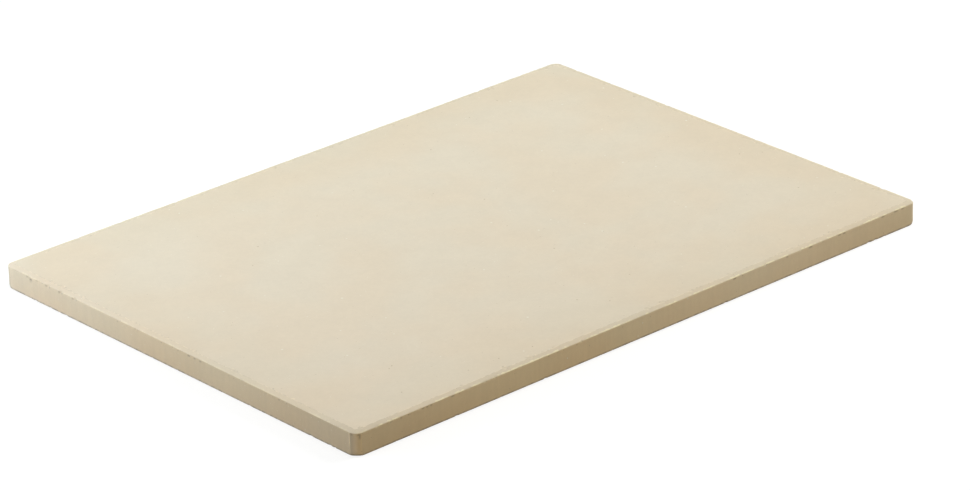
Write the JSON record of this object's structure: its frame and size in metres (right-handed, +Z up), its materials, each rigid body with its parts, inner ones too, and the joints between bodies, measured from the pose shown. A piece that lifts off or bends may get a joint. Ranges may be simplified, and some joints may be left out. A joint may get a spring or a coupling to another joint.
{
  "type": "pizza stone",
  "caption": "Rectangular unglazed ceramic baking slab with rounded corners and a shallow sloped rim, laid in an oven or grill to bake pizza and bread.",
  "frame": {"origin": "middle of the flat underside, where the stone rests", "axes": "+X along the long side, +Y along the short side, +Z up to the baking face"},
  "size_m": [0.415, 0.3, 0.014],
  "materials": {
    "fired_cordierite": "matte"
  },
  "bodies": {
    "root": {"baking_stone": "fired_cordierite"}
  },
  "joints": []
}
